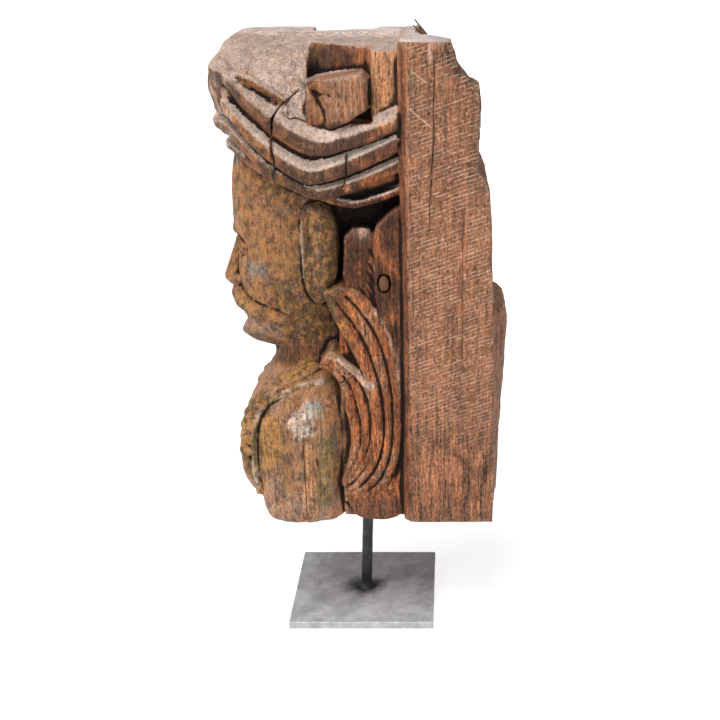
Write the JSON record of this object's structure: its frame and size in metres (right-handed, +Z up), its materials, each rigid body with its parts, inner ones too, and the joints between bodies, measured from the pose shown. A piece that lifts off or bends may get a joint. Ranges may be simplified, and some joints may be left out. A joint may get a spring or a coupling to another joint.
{
  "type": "carved wooden corbel on an iron stand",
  "caption": "Carved wooden corbel with a turbaned, moustached bust in front of a rough back board, held up by a leaning rod on a square iron plate.",
  "frame": {"origin": "middle of the stand plate's underside", "axes": "+Z up, along the corbel's height; -X is the way the figure faces and +X the side that was fixed to the building"},
  "size_m": [0.2865, 0.15, 0.6101],
  "materials": {
    "carved_wood": "old hardwood, worn to bare grain with traces of green and blue-grey paint",
    "peg_wood": "bare end grain",
    "pin_wood": "splintered and dark",
    "rod_iron": "dark waxed round bar",
    "plate_iron": "waxed plate with pits and scuffs"
  },
  "bodies": {
    "root": {"corbel": "carved_wood", "wooden_peg": "peg_wood", "splintered_pin": "pin_wood", "stand_rod": "rod_iron", "stand_plate": "plate_iron"}
  },
  "joints": []
}
